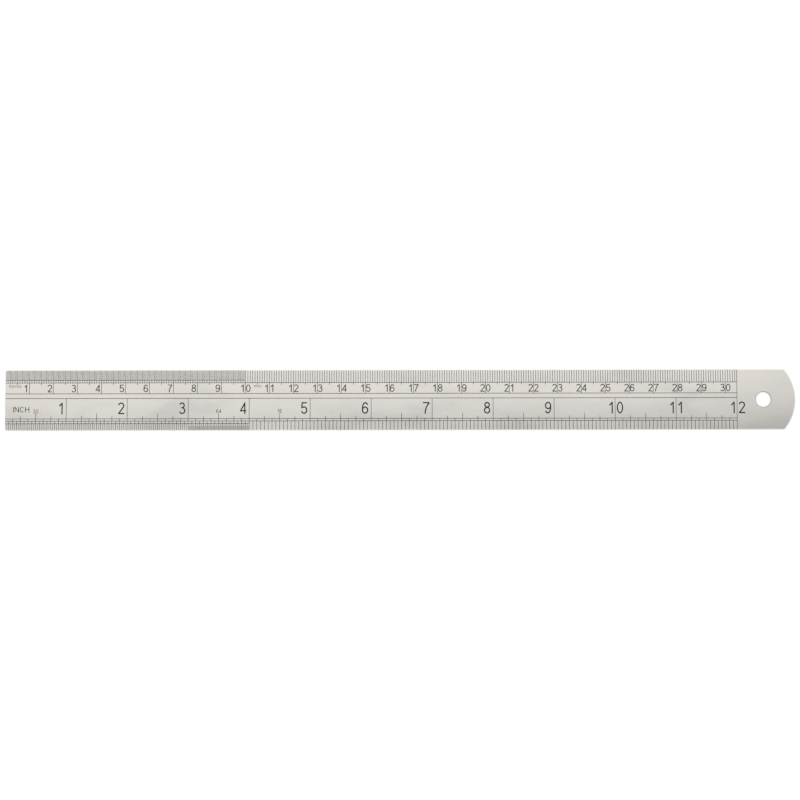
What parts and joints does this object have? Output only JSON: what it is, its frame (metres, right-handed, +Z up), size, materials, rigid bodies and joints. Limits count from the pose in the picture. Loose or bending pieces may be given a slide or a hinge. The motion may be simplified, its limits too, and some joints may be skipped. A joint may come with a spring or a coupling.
{
  "type": "steel rule",
  "caption": "Flat stainless steel rule with a metric scale on one edge, an inch scale on the other, a square zero end and a rounded end with a hanging hole.",
  "frame": {"origin": "middle of the zero end on the underside", "axes": "+X along the blade from the zero end to the rounded end, +Y across it to the metric edge, +Z up out of the graduated face"},
  "size_m": [0.329, 0.025, 0.001],
  "materials": {
    "stainless_blade": "satin rolled stainless steel, fine grain along the blade, soft sheen",
    "black_enamel": "baked black enamel, half matt"
  },
  "bodies": {
    "root": {"blade": "stainless_blade", "half_millimetre_lines": "black_enamel", "millimetre_lines": "black_enamel", "five_millimetre_lines": "black_enamel", "centimetre_lines": "black_enamel", "half_millimetre_rail": "black_enamel", "millimetre_rail": "black_enamel", "metric_base_rail": "black_enamel", "centimetre_numerals": "black_enamel", "millimetre_unit_marks": "black_enamel", "inch_lines": "black_enamel", "half_inch_lines": "black_enamel", "quarter_inch_lines": "black_enamel", "eighth_inch_lines": "black_enamel", "sixteenth_inch_lines": "black_enamel", "thirty_second_inch_lines": "black_enamel", "sixty_fourth_inch_lines": "black_enamel", "inch_base_rail": "black_enamel", "eighth_inch_rail": "black_enamel", "sixteenth_inch_rail": "black_enamel", "thirty_second_inch_rail": "black_enamel", "inch_numerals": "black_enamel", "inch_unit_word": "black_enamel", "division_labels": "black_enamel", "scale_end_line": "black_enamel"}
  },
  "joints": []
}
